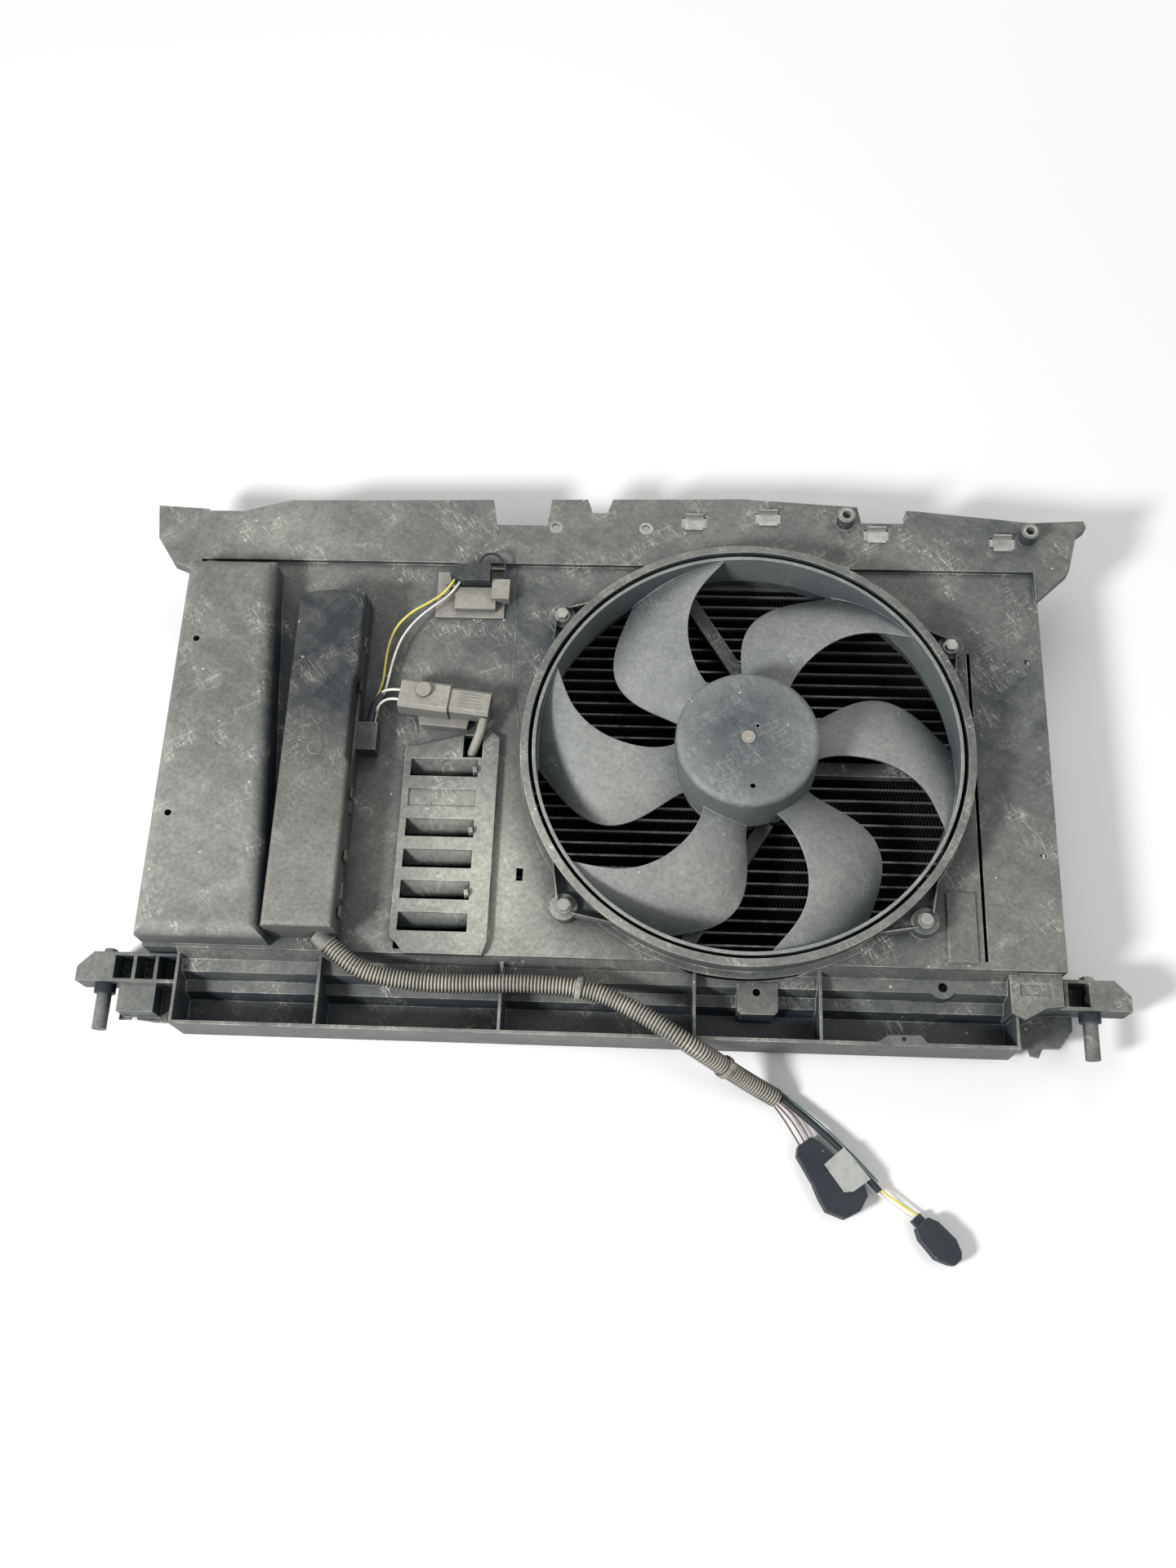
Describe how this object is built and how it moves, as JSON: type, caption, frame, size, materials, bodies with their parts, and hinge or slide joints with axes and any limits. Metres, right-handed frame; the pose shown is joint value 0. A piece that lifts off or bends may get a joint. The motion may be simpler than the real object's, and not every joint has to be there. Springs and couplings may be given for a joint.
{
  "type": "radiator assembly",
  "caption": "Car radiator with moulded front panel, ring-bladed electric fan, control box and wiring, lying fan side up.",
  "frame": {"origin": "on the floor under the middle of the assembly, measured without the loose harness", "axes": "+Z along the fan axis, up, away from the core; +X to the right of the panel seen from the fan side; +Y towards its top edge"},
  "size_m": [0.93, 0.7044, 0.124],
  "materials": {
    "moulded_plastic": "weathered matt black moulding with dust",
    "fan_plastic": "dusty dark grey moulding",
    "box_plastic": "dark grey fine grained moulding",
    "tank_plastic": "black glass filled moulding",
    "connector_plastic": "dusty grey moulding",
    "core_aluminium": "dull brazed aluminium",
    "sheet_steel": "dull plated steel",
    "shaft_steel": "ground steel",
    "iron_core": "stacked iron sheet",
    "copper": "copper",
    "magnet": "dark ferrite",
    "black_rubber": "matt black rubber",
    "wire_green": "green insulation",
    "wire_brown": "brown insulation",
    "wire_white": "white insulation",
    "wire_yellow": "yellow insulation",
    "board": "lacquered board",
    "label": "bare grey film"
  },
  "bodies": {
    "frame": {"radiator_tubes": "core_aluminium", "radiator_fins": "core_aluminium", "header_plates": "core_aluminium", "side_plates": "core_aluminium", "tank_gaskets": "black_rubber", "tank_left": "tank_plastic", "tank_right": "tank_plastic", "drain_plug": "tank_plastic", "front_panel": "moulded_plastic", "metal_inserts": "sheet_steel", "top_clips": "sheet_steel", "locating_pegs": "moulded_plastic", "peg_bushes": "black_rubber", "peg_nuts": "sheet_steel", "fan_shroud_ring": "moulded_plastic", "ring_bolts": "sheet_steel", "ring_washers": "sheet_steel", "ring_bushes": "sheet_steel", "motor_can": "sheet_steel", "motor_end_cap": "tank_plastic", "motor_screws": "sheet_steel", "motor_magnets": "magnet", "motor_bearings": "shaft_steel", "brush_holder": "tank_plastic", "motor_brushes": "magnet", "control_box_base": "box_plastic", "control_box_cover": "box_plastic", "control_board": "board", "box_lead_plug": "box_plastic", "resistor_bracket": "connector_plastic", "resistor_body": "connector_plastic", "resistor_plug": "box_plastic", "resistor_screw": "connector_plastic", "connector_blade": "connector_plastic", "connector_socket": "connector_plastic", "connector_plug": "connector_plastic", "connector_lock": "connector_plastic", "harness_conduit": "tank_plastic", "plug_wire_1": "wire_brown", "plug_wire_2": "wire_brown", "plug_wire_3": "wire_brown", "tail_sleeve": "black_rubber", "tail_wire_green": "wire_green", "tail_wire_white": "wire_white", "tail_wire_yellow": "wire_yellow", "conduit_ties": "connector_plastic", "resistor_leads": "wire_white", "connector_leads": "wire_white", "resistor_loop": "black_rubber", "lead_sleeve": "connector_plastic", "module_plug": "black_rubber", "plug_label": "label", "end_plug": "black_rubber"},
    "rotor": {"fan_impeller": "fan_plastic", "motor_shaft": "shaft_steel", "armature_core": "iron_core", "armature_windings": "copper", "commutator": "copper", "hub_clip": "shaft_steel"}
  },
  "joints": [
    {"name": "fan_spin", "type": "hinge", "parent": "frame", "child": "rotor", "pos_m": [0.129, -0.008, 0.09], "axis": [0, 0, 1], "continuous": true}
  ]
}
